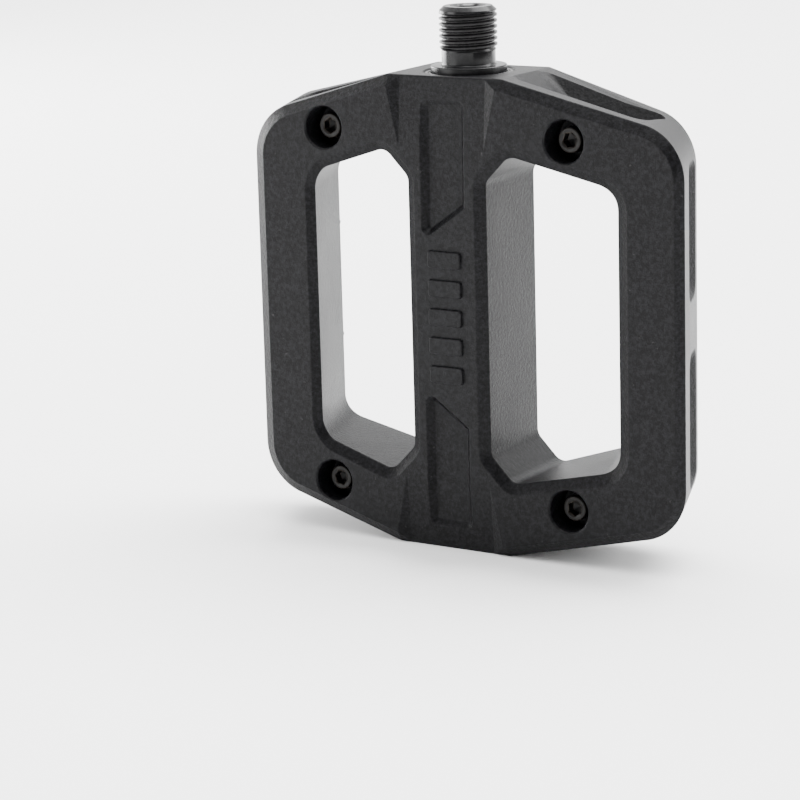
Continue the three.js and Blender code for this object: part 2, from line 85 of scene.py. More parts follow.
halfThick = pedalBody["thickness"] / 2
halfWidth = pedalBody["width"] / 2
halfFlat = pedalBody["flatEnd"] / 2
shoulderSlope = slopeOf(pedalBody)
windowOuter = halfWidth - pedalBody["railWidth"]
windowInner = pedalBody["spineWidth"] / 2
windowPeakX = windowInner + pedalBody["windowCut"]
windowPeakZ = halfLength - pedalBody["endWall"]
windowOuterZ = windowPeakZ - shoulderSlope * (windowOuter - windowPeakX)


def leanShare(x):
    outward = (abs(x) - windowPeakX - 1) / (windowOuter - 2 - windowPeakX)
    return 0.1 + 0.9 * min(1, max(0, outward))


def leaned(x, y, z):
    return (x - leanShare(x) * pedalBody["lean"] * y / halfThick, y, z)


def loopCounts(corners, spacing):
    following = corners[1:] + corners[:1]
    return [max(1, round(math.dist(p[:2], q[:2]) / spacing)) for p, q in zip(corners, following)]


def cornerLoop(corners, spacing=1000.0):
    counts = loopCounts(corners, spacing)
    size = len(corners)
    area = sum(corners[i][0] * corners[(i + 1) % size][1] - corners[(i + 1) % size][0] * corners[i][1]
               for i in range(size))
    side = 1 if area > 0 else -1

    def loopAt(grow):
        edges = []
        for i in range(size):
            start = Vector(corners[i][:2])
            along = (Vector(corners[(i + 1) % size][:2]) - start).normalized()
            outward = Vector((along.y, -along.x)) * side
            edges.append((start + outward * grow, along, outward))
        arcs = []
        for i in range(size):
            place, along, outward = edges[i]
            beforePlace, before, beforeOut = edges[i - 1]
            gap = place - beforePlace
            reach = (gap.x * along.y - gap.y * along.x) / (before.x * along.y - before.y * along.x)
            tip = beforePlace + before * reach
            radius = max(0.05, corners[i][2] + grow)
            turn = math.atan2(before.x * along.y - before.y * along.x, before.dot(along))
            back = radius * math.tan(abs(turn) / 2)
            centre = tip - before * back - beforeOut * radius
            steps = corners[i][3]
            arc = []
            for k in range(steps + 1):
                spun = beforeOut * radius
                spun.rotate(Matrix.Rotation(turn * k / steps, 2))
                arc.append(centre + spun)
            arcs.append(arc)
        points = []
        for i in range(size):
            points += arcs[i]
            start, end = arcs[i][-1], arcs[(i + 1) % size][0]
            points += [start.lerp(end, k / counts[i]) for k in range(1, counts[i])]
        return points

    return loopAt


def circleLoop(radius, count):
    def loopAt(grow):
        turns = [2 * math.pi * k / count for k in range(count)]
        return [Vector((math.cos(t), math.sin(t))) * (radius + grow) for t in turns]

    return loopAt


def roundedPath(points, finest=9):
    path = [Vector(points[0][:2])]
    for i in range(1, len(points) - 1):
        tip = Vector(points[i][:2])
        radius = points[i][2] if len(points[i]) > 2 else 0
        if radius == 0:
            path.append(tip)
            continue
        before = (tip - Vector(points[i - 1][:2])).normalized()
        after = (Vector(points[i + 1][:2]) - tip).normalized()
        turn = math.atan2(before.x * after.y - before.y * after.x, before.dot(after))
        start = tip - before * radius * math.tan(abs(turn) / 2)
        inward = Vector((-before.y, before.x)) * math.copysign(radius, turn)
        centre = start + inward
        steps = max(2, math.ceil(math.degrees(abs(turn)) / finest))
        for k in range(steps + 1):
            spoke = -inward
            spoke.rotate(Matrix.Rotation(turn * k / steps, 2))
            path.append(centre + spoke)
    path.append(Vector(points[-1][:2]))
    return path


def pieceFrom(name, vertices, faces, merge=0.0):
    mesh = bpy.data.meshes.new(name)
    mesh.from_pydata([tuple(v) for v in vertices], [], faces)
    work = bmesh.new()
    work.from_mesh(mesh)
    if merge:
        bmesh.ops.remove_doubles(work, verts=work.verts, dist=merge)
    bmesh.ops.recalc_face_normals(work, faces=work.faces)
    work.to_mesh(mesh)
    work.free()
    piece = bpy.data.objects.new(name, mesh)
    bpy.context.scene.collection.objects.link(piece)
    return piece


def loftFaces(ringCount, size, closed=False):
    faces = []
    for r in range(ringCount if closed else ringCount - 1):
        a = r * size
        b = ((r + 1) % ringCount) * size
        faces += [(a + k, a + (k + 1) % size, b + (k + 1) % size, b + k) for k in range(size)]
    if not closed:
        last = (ringCount - 1) * size
        faces += [tuple(reversed(range(size))), tuple(range(last, last + size))]
    return faces


def loft(name, rings, closed=False):
    vertices = [p for ring in rings for p in ring]
    return pieceFrom(name, vertices, loftFaces(len(rings), len(rings[0]), closed))


def sunk(name, loopAt, path, place):
    rings = [[place(p.x, p.y, depth) for p in loopAt(grow)] for grow, depth in path]
    return loft(name, rings)


def ringOf(radius, z, count, acrossFlats=0):
    points = []
    for k in range(count):
        turn = 2 * math.pi * k / count
        r = radius
        if acrossFlats:
            r = acrossFlats / 2 / math.cos((turn + math.pi / 6) % (math.pi / 3) - math.pi / 6)
        points.append((r * math.cos(turn), r * math.sin(turn), z))
    return points


def turnedPiece(name, profile, count, closed=False):
    return loft(name, [ringOf(r, z, count) for r, z in profile], closed)


def carve(target, cutters, operation="DIFFERENCE"):
    tool = cutters[0]
    joined = bmesh.new()
    for cutter in cutters:
        joined.from_mesh(cutter.data)
    mesh = bpy.data.meshes.new("tool")
    joined.to_mesh(mesh)
    joined.free()
    tool.data = mesh
    cut = target.modifiers.new("cut", "BOOLEAN")
    cut.operation = operation
    cut.solver = "EXACT"
    cut.object = tool
    done = bpy.data.meshes.new_from_object(target.evaluated_get(bpy.context.evaluated_depsgraph_get()))
    target.modifiers.clear()
    target.data = done
    for cutter in cutters:
        bpy.data.objects.remove(cutter)


def softShaded(piece, sharpAngle=14, creaseAngle=2.5, creaseArea=3.0):
    work = bmesh.new()
    work.from_mesh(piece.data)
    bmesh.ops.remove_doubles(work, verts=work.verts, dist=1e-4)
    bmesh.ops.dissolve_degenerate(work, edges=work.edges, dist=1e-4)
    for face in work.faces:
        face.smooth = True
    for edge in work.edges:
        if len(edge.link_faces) != 2:
            continue
        bend = math.degrees(edge.calc_face_angle(0))
        wide = min(face.calc_area() for face in edge.link_faces) > creaseArea
        edge.smooth = not (bend > sharpAngle or (wide and bend > creaseAngle))
    work.to_mesh(piece.data)
    work.free()


def toMetres(piece, centre=(0, 0, 0)):
    piece.data.transform(Matrix.Translation(Vector(centre)))
    piece.data.transform(Matrix.Scale(mm, 4))
    piece.data.update()


def weightedNormals(piece):
    modifier = piece.modifiers.new("weighted", "WEIGHTED_NORMAL")
    modifier.keep_sharp = True
    modifier.weight = 100


def lipPath(wall, depth, lipRounding, floorRounding, skim=8.0):
    # from a point beyond the surface, over a rounded lip, down the wall to the floor
    rise = 0.25
    under = 0.03
    reach = (rise + under) / math.tan(math.radians(skim))
    lip = wall * under / depth
    return [(-lip + reach, -1.6), (-lip + reach, -rise), (-lip, under, lipRounding),
            (-wall, depth, floorRounding), (-wall - 1.6 * floorRounding, depth)]


# surface effects


def mathNode(tree, operation, a, b=None, c=None):
    node = tree.nodes.new("ShaderNodeMath")
    node.operation = operation
    for socket, value in zip(node.inputs, (a, b, c)):
        if value is None:
            continue
        if isinstance(value, (int, float)):
            socket.default_value = value
        else:
            tree.links.new(value, socket)
    return node.outputs[0]


def newGroup(name, inputs, outputs):
    group = bpy.data.node_groups.new(name, "ShaderNodeTree")
    for label, kind, value in inputs:
        socket = group.interface.new_socket(label, in_out="INPUT", socket_type=kind)
        if value is not None:
            socket.default_value = value
    for label, kind in outputs:
        group.interface.new_socket(label, in_out="OUTPUT", socket_type=kind)
    start = group.nodes.new("NodeGroupInput")
    end = group.nodes.new("NodeGroupOutput")
    return group, start, end


def noiseNode(tree, vector, scale, detail=2.0, roughness=0.5):
    node = tree.nodes.new("ShaderNodeTexNoise")
    node.inputs["Detail"].default_value = detail
    node.inputs["Roughness"].default_value = roughness
    tree.links.new(vector, node.inputs["Vector"])
    if isinstance(scale, (int, float)):
        node.inputs["Scale"].default_value = scale
    else:
        tree.links.new(scale, node.inputs["Scale"])
    return node.outputs["Fac"]


def buildGrainGroup():
    group, start, end = newGroup("fineGrain", [
        ("Place", "NodeSocketVector", None), ("Scale", "NodeSocketFloat", 2200.0),
        ("Cloud Scale", "NodeSocketFloat", 60.0)], [("Height", "NodeSocketFloat"),
                                                   ("Cloud", "NodeSocketFloat")])
    fine = noiseNode(group, start.outputs["Place"], start.outputs["Scale"], 3.0, 0.6)
    coarseScale = mathNode(group, "MULTIPLY", start.outputs["Scale"], 0.37)
    coarse = noiseNode(group, start.outputs["Place"], coarseScale, 1.0)
    height = mathNode(group, "MULTIPLY_ADD", coarse, 0.5, mathNode(group, "MULTIPLY", fine, 0.5))
    group.links.new(height, end.inputs["Height"])
    group.links.new(noiseNode(group, start.outputs["Place"], start.outputs["Cloud Scale"]),
                    end.inputs["Cloud"])
    return group


# edge mask from the rounded-edge normal: it marks worn edges, and on the screw heads it also paints
# brownish glints (painted highlight) into the colour
def buildWearAndGlintGroup():
    group, start, end = newGroup("edgeWearAndGlint", [
        ("Place", "NodeSocketVector", None), ("Amount", "NodeSocketFloat", 0.5),
        ("Scale", "NodeSocketFloat", 300.0)], [("Mask", "NodeSocketFloat")])
    rounded = group.nodes.new("ShaderNodeBevel")
    rounded.samples = 4
    rounded.inputs["Radius"].default_value = 0.0006
    geometry = group.nodes.new("ShaderNodeNewGeometry")
    dot = group.nodes.new("ShaderNodeVectorMath")
    dot.operation = "DOT_PRODUCT"
    group.links.new(rounded.outputs["Normal"], dot.inputs[0])
    group.links.new(geometry.outputs["Normal"], dot.inputs[1])
    edge = mathNode(group, "SUBTRACT", 1.0, dot.outputs["Value"])
    patches = noiseNode(group, start.outputs["Place"], start.outputs["Scale"], 4.0, 0.7)
    broken = mathNode(group, "MULTIPLY", mathNode(group, "MULTIPLY", edge, 9.0), patches)
    node = group.nodes.new("ShaderNodeClamp")
    group.links.new(mathNode(group, "MULTIPLY", broken, start.outputs["Amount"]), node.inputs["Value"])
    group.links.new(node.outputs[0], end.inputs["Mask"])
    return group


def buildDustGroup():
    group, start, end = newGroup("fineDust", [
        ("Place", "NodeSocketVector", None), ("Scale", "NodeSocketFloat", 900.0),
        ("Threshold", "NodeSocketFloat", 0.72)], [("Mask", "NodeSocketFloat")])
    specks = noiseNode(group, start.outputs["Place"], start.outputs["Scale"], 2.0)
    ramp = group.nodes.new("ShaderNodeMapRange")
    group.links.new(specks, ramp.inputs["Value"])
    group.links.new(start.outputs["Threshold"], ramp.inputs["From Min"])
    group.links.new(mathNode(group, "ADD", start.outputs["Threshold"], 0.08), ramp.inputs["From Max"])
    group.links.new(ramp.outputs[0], end.inputs["Mask"])
    return group


grainGroup = buildGrainGroup()
wearAndGlintGroup = buildWearAndGlintGroup()
dustGroup = buildDustGroup()


def mixColours(tree, mask, low, high):
    node = tree.nodes.new("ShaderNodeMix")
    node.data_type = "RGBA"
    tree.links.new(mask, node.inputs["Factor"])
    for socket, value in ((node.inputs[6], low), (node.inputs[7], high)):
        if isinstance(value, tuple):
            socket.default_value = value
        else:
            tree.links.new(value, socket)
    return node.outputs[2]


def finishOf(name, settings):
    material = bpy.data.materials.new(name)
    material.use_nodes = True
    tree = material.node_tree
    shader = tree.nodes["Principled BSDF"]
    shader.inputs["Metallic"].default_value = settings.get("metallic", 0.0)
    shader.inputs["Specular IOR Level"].default_value = settings.get("specular", 0.5)
    place = tree.nodes.new("ShaderNodeTexCoord").outputs["Object"]
    grain = tree.nodes.new("ShaderNodeGroup")
    grain.node_tree = grainGroup
    grain.inputs["Scale"].default_value = settings.get("grainScale", 2200.0)
    grain.inputs["Cloud Scale"].default_value = settings.get("cloudScale", 60.0)
    wearAndGlint = tree.nodes.new("ShaderNodeGroup")
    wearAndGlint.node_tree = wearAndGlintGroup
    wearAndGlint.inputs["Amount"].default_value = settings.get("wearAndGlint", 0.5)
    dust = tree.nodes.new("ShaderNodeGroup")
    dust.node_tree = dustGroup
    dust.inputs["Threshold"].default_value = settings.get("dustThreshold", 0.72)
    for group in (grain, wearAndGlint, dust):
        tree.links.new(place, group.inputs["Place"])
    colour = settings["colour"]
    darker = tuple(c * settings.get("cloudDark", 0.82) for c in colour[:3]) + (1,)
    base = mixColours(tree, grain.outputs["Cloud"], darker, colour)
    speckle = tuple(min(1, c * settings.get("speckle", 1.6) + 0.001) for c in colour[:3]) + (1,)
    grains = tree.nodes.new("ShaderNodeMapRange")
    grains.inputs["From Min"].default_value = 0.42
    grains.inputs["From Max"].default_value = 0.64
    tree.links.new(grain.outputs["Height"], grains.inputs["Value"])
    base = mixColours(tree, grains.outputs[0], base, speckle)
    base = mixColours(tree, mathNode(tree, "MULTIPLY", dust.outputs["Mask"], settings.get("dust", 0.15)),
                      base, (0.35, 0.34, 0.33, 1))
    # edges take the worn colour: real edge wear, and on the screw heads partly a painted highlight of
    # brownish glints
    base = mixColours(tree, wearAndGlint.outputs["Mask"], base, settings.get("wornAndGlintColour", speckle))
    tree.links.new(base, shader.inputs["Base Color"])
    rough = mathNode(tree, "MULTIPLY_ADD", grain.outputs["Cloud"], settings.get("roughSpread", 0.12),
                     settings["roughness"] - settings.get("roughSpread", 0.12) / 2)
    tree.links.new(rough, shader.inputs["Roughness"])
    bump = tree.nodes.new("ShaderNodeBump")
    bump.inputs["Strength"].default_value = settings.get("bump", 0.35)
    bump.inputs["Distance"].default_value = settings.get("grainHeight", 0.03) * mm
    tree.links.new(grain.outputs["Height"], bump.inputs["Height"])
    rounded = tree.nodes.new("ShaderNodeBevel")
    rounded.samples = 4
    rounded.inputs["Radius"].default_value = settings.get("softEdge", 0.25) * mm
    tree.links.new(rounded.outputs["Normal"], bump.inputs["Normal"])
    tree.links.new(bump.outputs["Normal"], shader.inputs["Normal"])
    return material


mouldedFinish = finishOf("mouldedNylon", {**pedalBody, "bump": 1.0, "dust": 0.05})


def dress(piece, material, slotName, body, *nodes):
    piece.data.materials.clear()
    piece.data.materials.append(material)
    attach(piece, body)
    if nodes:
        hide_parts(*nodes)


# body


def bodyOutline():
    r = pedalBody["cornerRadius"]
    e = pedalBody["endCornerRadius"]
    drop = pedalBody["shoulderDrop"]
    return cornerLoop([
        (halfFlat, halfLength, e, 4), (halfWidth, halfLength - drop, r, 14),
        (halfWidth, drop - halfLength, r, 14), (halfFlat, -halfLength, e, 4),
        (-halfFlat, -halfLength, e, 4), (-halfWidth, drop - halfLength, r, 14),
        (-halfWidth, halfLength - drop, r, 14), (-halfFlat, halfLength, e, 4),
    ])


def bodyBlank():
    w, d = pedalBody["chamferWidth"], pedalBody["chamferDepth"]
    rounding = pedalBody["chamferRounding"]
    path = roundedPath([
        (-w - 1.2, -halfThick), (-w, -halfThick, rounding), (0, d - halfThick, rounding),
        (0, halfThick - d, rounding), (-w, halfThick, rounding), (-w - 1.2, halfThick)])
    return sunk("bodyBlank", bodyOutline(), path, lambda x, z, y: leaned(x, y, bodyMid + z))


def windowCutter(side):
    loopAt = cornerLoop([
        (side * windowInner, pedalBody["windowStraight"] / 2, 3, 6),
        (side * windowPeakX, windowPeakZ, 3.2, 10),
        (side * windowOuter, windowOuterZ, 5.5, 10), (side * windowOuter, -windowOuterZ, 5.5, 10),
        (side * windowPeakX, -windowPeakZ, 3.2, 10),
        (side * windowInner, -pedalBody["windowStraight"] / 2, 3, 6)])
    w, d = pedalBody["chamferWidth"], pedalBody["chamferDepth"]
    under = 0.03
    skim = math.radians(8)
    edge = w * (1 - under / d)
    reach = edge + (0.25 + under) / math.tan(skim)
    rounding = pedalBody["chamferRounding"]
    half = [(0, d - halfThick, rounding), (edge, under - halfThick, rounding),
            (reach, -halfThick - 0.25), (reach, -halfThick - 2)]
    path = roundedPath([(p[0], p[1], *p[2:]) for p in reversed(half)]
                       + [(p[0], -p[1], *p[2:]) for p in half])
    return sunk("windowCut", loopAt, path, lambda x, z, y: leaned(x, y, bodyMid + z))


sidePocket = {"length": 30.0, "height": 12.3, "depth": 3.2, "corner": 3.6, "wall": 3.4,
              "along": 20.6, "offset": 2.5, "lip": 0.7, "floor": 1.2}
shoulderPocket = {"from": 14.0, "to": 46.0, "height": 13.8, "depth": 3.6, "corner": 3.2, "wall": 2.6,
                  "offset": 0.1, "hubRun": 7.0, "lip": 0.5, "floor": 1.2}


def rectLoop(uFrom, uTo, vFrom, vTo, corner, spacing=2.0):
    return cornerLoop([(uFrom, vFrom, corner, 9), (uTo, vFrom, corner, 9),
                       (uTo, vTo, corner, 9), (uFrom, vTo, corner, 9)], spacing)


def sidePocketCutter(side, zSign):
    p = sidePocket
    loopAt = rectLoop(-p["length"] / 2, p["length"] / 2, p["offset"] - p["height"] / 2,
                      p["offset"] + p["height"] / 2, p["corner"])
    floorX = halfWidth - pedalBody["lean"] * p["offset"] / halfThick - p["depth"]

    def place(u, v, w):
        wallX = halfWidth - pedalBody["lean"] * v / halfThick
        x = wallX - w if w < 0 else wallX + (floorX - wallX) * w / p["depth"]
        return (side * x, side * v, bodyMid + zSign * p["along"] + u)

    path = roundedPath(lipPath(p["wall"], p["depth"], p["lip"], p["floor"]))
    return sunk("sidePocketCut", loopAt, path, place)


def shoulderPocketCutter(side, zSign):
    p = shoulderPocket
    middle = -p["offset"]
    loopAt = rectLoop(p["from"], p["to"], middle - p["height"] / 2, middle + p["height"] / 2, p["corner"])
    fall = math.atan(shoulderSlope)

    def place(u, v, w):
        corner = halfWidth - pedalBody["lean"] * v / halfThick
        z = halfLength - pedalBody["shoulderDrop"] * (u - halfFlat) / (corner - halfFlat)
        u += p["hubRun"] * max(0, w) / p["depth"] * (p["to"] - u) / (p["to"] - p["from"])
        z -= shoulderSlope * p["hubRun"] * max(0, w) / p["depth"] * (p["to"] - u) / (p["to"] - p["from"])
        return (side * (u - w * math.sin(fall)), side * v, bodyMid + zSign * (z - w * math.cos(fall)))

    path = roundedPath(lipPath(p["wall"], p["depth"], p["lip"], p["floor"]))
    return sunk("shoulderPocketCut", loopAt, path, place)


endValley = {"sink": 1.3, "length": 15.6, "floorHalf": 10.7}


def valleyDepth(z):
    return endValley["sink"] * max(0, (abs(z) - halfLength + endValley["length"]) / endValley["length"])


def valleyCutter(zSign, ySign):
    sink, floorHalf = endValley["sink"], endValley["floorHalf"]
    lift = 1.0
    top = floorHalf + (halfFlat - floorHalf) * (sink + lift) / sink
    tip = halfLength + 3
    start = halfLength - endValley["length"]
    slope = sink / endValley["length"]
    rings = []
    for z in (start - 3, tip):
        down = slope * (z - start)
        above = -lift - sink + down
        points = [(-top, above), (-floorHalf, down), (floorHalf, down), (top, above)]
        rings.append([(x * ySign, ySign * (halfThick - depth), bodyMid + zSign * z) for x, depth in points])
    return loft("valleyCut", rings)


spinePanel = {"halfWidth": 5.5, "fromEnd": 5.0, "short": 24.3, "long": 16.4, "depth": 1.5, "wall": 1.35,
              "lip": 0.25, "floor": 0.3, "shift": 0.2}


def panelCutter(zSign, ySign):
    p = spinePanel
    outer = halfLength - p["fromEnd"]
    half = p["halfWidth"]
    corners = [(-half, outer, 1.8, 6), (half, outer, 1.8, 6), (half, p["short"], 1.2, 6),
               (-half, p["long"], 1.7, 12)]
    loopAt = cornerLoop(corners, 2.0)
    slant = 0.35 / (outer - p["long"])

    def place(u, v, w):
        surface = valleyDepth(v)
        floor = p["depth"] + slant * (v - p["long"])
        depth = surface + w if w < 0 else surface + (floor - surface) * w / p["depth"]
        if w < -1:
            depth = -1.5
        return (-ySign * (u + p["shift"]), ySign * (halfThick - depth), bodyMid + zSign * v)

    path = roundedPath(lipPath(p["wall"], p["depth"], p["lip"], p["floor"], 12))
    return sunk("panelCut", loopAt, path, place)


screwHole = {"radius": 4.65, "depth": 6.8, "lip": 0.45}
screwPlaces = []
for across in ("left", "right"):
    for height in ("upper", "lower"):
        low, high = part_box(f"pin_screw_{height}_{across}")
        screwPlaces.append(((low.x + high.x) / 2 / mm, (low.z + high.z) / 2 / mm))


def screwHoleCutter(x, z):
    c = screwHole["lip"]
    path = roundedPath([(c + 0.6, -0.6), (0, c * 0.75, 0.3), (0, screwHole["depth"], 0.4),
                        (-1, screwHole["depth"])])
    return sunk("screwHoleCut", circleLoop(screwHole["radius"], 48), path,
                lambda u, v, w: (x + u, w - halfThick, z + v))


nutPocket = {"half": 3.65, "depth": 3.3, "corner": 0.4}


def nutPocketCutter(x, z):
    turn = math.copysign(math.atan(shoulderSlope), x * (z - bodyMid))
    half, deep = nutPocket["half"], nutPocket["depth"]
    loopAt = rectLoop(-half, half, -half, half, nutPocket["corner"])
    path = roundedPath([(0.9, -0.9), (0.05, 0.12, 0.15), (0, deep), (-1, deep)])

    def place(u, v, w):
        return (x + u * math.cos(turn) + v * math.sin(turn), halfThick - w,
                z - u * math.sin(turn) + v * math.cos(turn))

    return sunk("nutPocketCut", loopAt, path, place)


bores = {"seal": 9.85, "sealDepth": 3.0, "bush": 7.7, "bushDepth": 23.0, "core": 7.0, "bearing": 8.01,
         "bearingFloor": 18.5, "cap": 10.6, "capDepth": 2.4, "lip": 0.35}


def boreCutter():
    b = bores
    lip, past, under = b["lip"], 1, 0.02
    fall = lip - under
    bearingFloor = bodyBottom + b["bearingFloor"]
    bushFloor = bodyTop - b["bushDepth"]
    sealFloor = bodyTop - b["sealDepth"]
    capFloor = bodyBottom + b["capDepth"]
    profile = [(b["seal"] + lip, bodyTop + past), (b["seal"] + lip, bodyTop + under),
               (b["seal"], bodyTop - fall), (b["seal"], sealFloor), (b["bush"], sealFloor),
               (b["bush"], bushFloor), (b["core"], bushFloor), (b["core"], bearingFloor),
               (b["bearing"], bearingFloor), (b["bearing"], capFloor), (b["cap"], capFloor),
               (b["cap"], bodyBottom + fall), (b["cap"] + lip, bodyBottom - under),
               (b["cap"] + lip, bodyBottom - past)]
    return turnedPiece("boreCut", profile, 96)


def buildBody():
    blank = bodyBlank()
    sides = (-1, 1)
    carve(blank, [windowCutter(side) for side in sides])
    carve(blank, [make(side, zSign) for side in sides for zSign in sides
                  for make in (sidePocketCutter, shoulderPocketCutter)])
    carve(blank, [valleyCutter(zSign, ySign) for zSign in sides for ySign in sides])
    carve(blank, [panelCutter(zSign, ySign) for zSign in sides for ySign in sides])
    carve(blank, [screwHoleCutter(x, z) for x, z in screwPlaces]
          + [nutPocketCutter(x, z) for x, z in screwPlaces] + [boreCutter()])
    softShaded(blank)
    toMetres(blank)
    weightedNormals(blank)
    blank.name = "pedalBodyShell"
    return blank


bodyShell = buildBody()
dress(bodyShell, mouldedFinish, "moulded_body", "platform", "pedal_body")
print("body shaped:", len(bodyShell.data.polygons), "faces")


# repeated pieces


def buildScatterTree():
    tree = bpy.data.node_groups.new("scatterPieces", "GeometryNodeTree")
    face = tree.interface
    face.new_socket("Geometry", in_out="INPUT", socket_type="NodeSocketGeometry")
    face.new_socket("Piece", in_out="INPUT", socket_type="NodeSocketObject")
    face.new_socket("Finish", in_out="INPUT", socket_type="NodeSocketMaterial")
    face.new_socket("Geometry", in_out="OUTPUT", socket_type="NodeSocketGeometry")
    start = tree.nodes.new("NodeGroupInput")
    end = tree.nodes.new("NodeGroupOutput")
    info = tree.nodes.new("GeometryNodeObjectInfo")
    turn = tree.nodes.new("GeometryNodeInputNamedAttribute")
    turn.data_type = "FLOAT_VECTOR"
    turn.inputs["Name"].default_value = "turn"
    points = tree.nodes.new("GeometryNodeInstanceOnPoints")
    real = tree.nodes.new("GeometryNodeRealizeInstances")
    paint = tree.nodes.new("GeometryNodeSetMaterial")
    link = tree.links.new
    link(start.outputs["Geometry"], points.inputs["Points"])
    link(start.outputs["Piece"], info.inputs["Object"])
    link(info.outputs["Geometry"], points.inputs["Instance"])
    link(turn.outputs["Attribute"], points.inputs["Rotation"])
    link(points.outputs["Instances"], real.inputs["Geometry"])
    link(real.outputs["Geometry"], paint.inputs["Geometry"])
    link(start.outputs["Finish"], paint.inputs["Material"])
    link(paint.outputs["Geometry"], end.inputs["Geometry"])
    return tree


scatterTree = buildScatterTree()


def scattered(name, piece, places, finish):
    # places: (x, y, z, turn about x, y, z) in millimetres and radians
    mesh = bpy.data.meshes.new(name)
    mesh.from_pydata([(p[0] * mm, p[1] * mm, p[2] * mm) for p in places], [], [])
    attribute = mesh.attributes.new("turn", "FLOAT_VECTOR", "POINT")
    for i, p in enumerate(places):
        attribute.data[i].vector = p[3:6]
    holder = bpy.data.objects.new(name, mesh)
    bpy.context.scene.collection.objects.link(holder)
    modifier = holder.modifiers.new("scatter", "NODES")
    modifier.node_group = scatterTree
    sockets = {item.name: item.identifier for item in scatterTree.interface.items_tree
               if item.item_type == "SOCKET" and item.in_out == "INPUT"}
    modifier[sockets["Piece"]] = piece
    modifier[sockets["Finish"]] = finish
    done = bpy.data.meshes.new_from_object(holder.evaluated_get(bpy.context.evaluated_depsgraph_get()))
    holder.modifiers.clear()
    holder.data = done
    bpy.data.objects.remove(piece)
    return holder


studPin = {"height": 4.3, "foot": 2.3, "top": 1.3, "sunk": 0.3, "sides": 8,
           "railX": (-47.1, 43.6), "railZ": (32.4, 13.3), "endX": 20.4, "endZ": 44.2}


def studPiece():
    p = studPin
    path = roundedPath([(p["foot"] + 0.7, -p["sunk"]), (p["foot"], 0.1, 0.6),
                        (p["top"], p["height"], 0.35), (0.1, p["height"])])
    turns = p["sides"]
    count = turns * 6

    def ring(r, y):
        points = []
        for k in range(count):
            turn = 2 * math.pi * k / count
            flat = math.cos(math.pi / turns) / math.cos(turn % (2 * math.pi / turns) - math.pi / turns)
            points.append((r * flat * math.cos(turn), y, -r * flat * math.sin(turn)))
        return points

    piece = loft("studShape", [ring(r, y) for r, y in path])
    softShaded(piece, 24)
    toMetres(piece)
    return piece


studPlaces = []
for zSign in (-1, 1):
    for x in studPin["railX"]:
        studPlaces += [(x, halfThick, bodyMid + zSign * z, 0, 0, 0) for z in studPin["railZ"]]
    endZ = bodyMid + zSign * studPin["endZ"]
    studPlaces += [(x, halfThick, endZ, 0, 0, 0) for x in (-studPin["endX"], studPin["endX"])]
studPins = scattered("mouldedStuds", studPiece(), studPlaces, mouldedFinish)
dress(studPins, mouldedFinish, "moulded_body", "platform", "pedal_body")

spineLug = {"foot": 3.3, "top": 2.7, "height": 2.1, "shift": 0.2, "along": (22.6, 30.4)}


def lugPiece():
    p = spineLug
    path = roundedPath([(p["foot"] + 0.4, -1.2), (p["foot"], -0.9, 0.3), (p["top"], p["height"], 0.4),
                        (0.2, p["height"])])
    rings = [[(r2 * math.cos(t), y, -r2 * math.sin(t)) for t, r2 in hexRound(r)] for r, y in path]
    piece = loft("lugShape", rings)
    softShaded(piece, 24)
    toMetres(piece)
    return piece


def hexRound(r):
    turns = [2 * math.pi * k / 60 for k in range(60)]
    return [(t, r * math.cos(math.pi / 6) / math.cos(t % (math.pi / 3) - math.pi / 6)) for t in turns]


lugPlaces = [(spineLug["shift"], halfThick, bodyMid + zSign * z, 0, 0, 0)
             for zSign in (-1, 1) for z in spineLug["along"]]
lugs = scattered("spineLugs", lugPiece(), lugPlaces, mouldedFinish)
dress(lugs, mouldedFinish, "moulded_body", "platform", "pedal_body")

gripBar = {"length": 8.2, "width": 3.6, "rise": 0.6, "pitch": 6.4, "shift": 0.4}


def barPiece():
    p = gripBar
    loopAt = rectLoop(-p["length"] / 2, p["length"] / 2, -p["width"] / 2, p["width"] / 2, 0.6, 2)
    path = roundedPath([(0.45, -0.3), (0.12, 0.02, 0.2), (0, p["rise"], 0.25), (-0.6, p["rise"])])
    piece = sunk("barShape", loopAt, path, lambda u, v, w: (u, -w, v))
    softShaded(piece, 30)
    toMetres(piece)
    return piece


barPlaces = []
for ySign, turn in ((-1, 0), (1, math.pi)):
    barPlaces += [(-ySign * gripBar["shift"], ySign * halfThick, bodyMid + k * gripBar["pitch"], 0, 0, turn)
                  for k in range(-2, 3)]
bars = scattered("spineBars", barPiece(), barPlaces, mouldedFinish)
dress(bars, mouldedFinish, "moulded_body", "platform", "pedal_body")
print("studs, lugs and bars placed")


# threads and turned pieces

threadShape = ((0.0, 1.0), (0.07, 1.0), (0.14, 1.0), (0.3, 0.42), (0.44, 0.0), (0.56, 0.0), (0.7, 0.42),
               (0.86, 1.0))


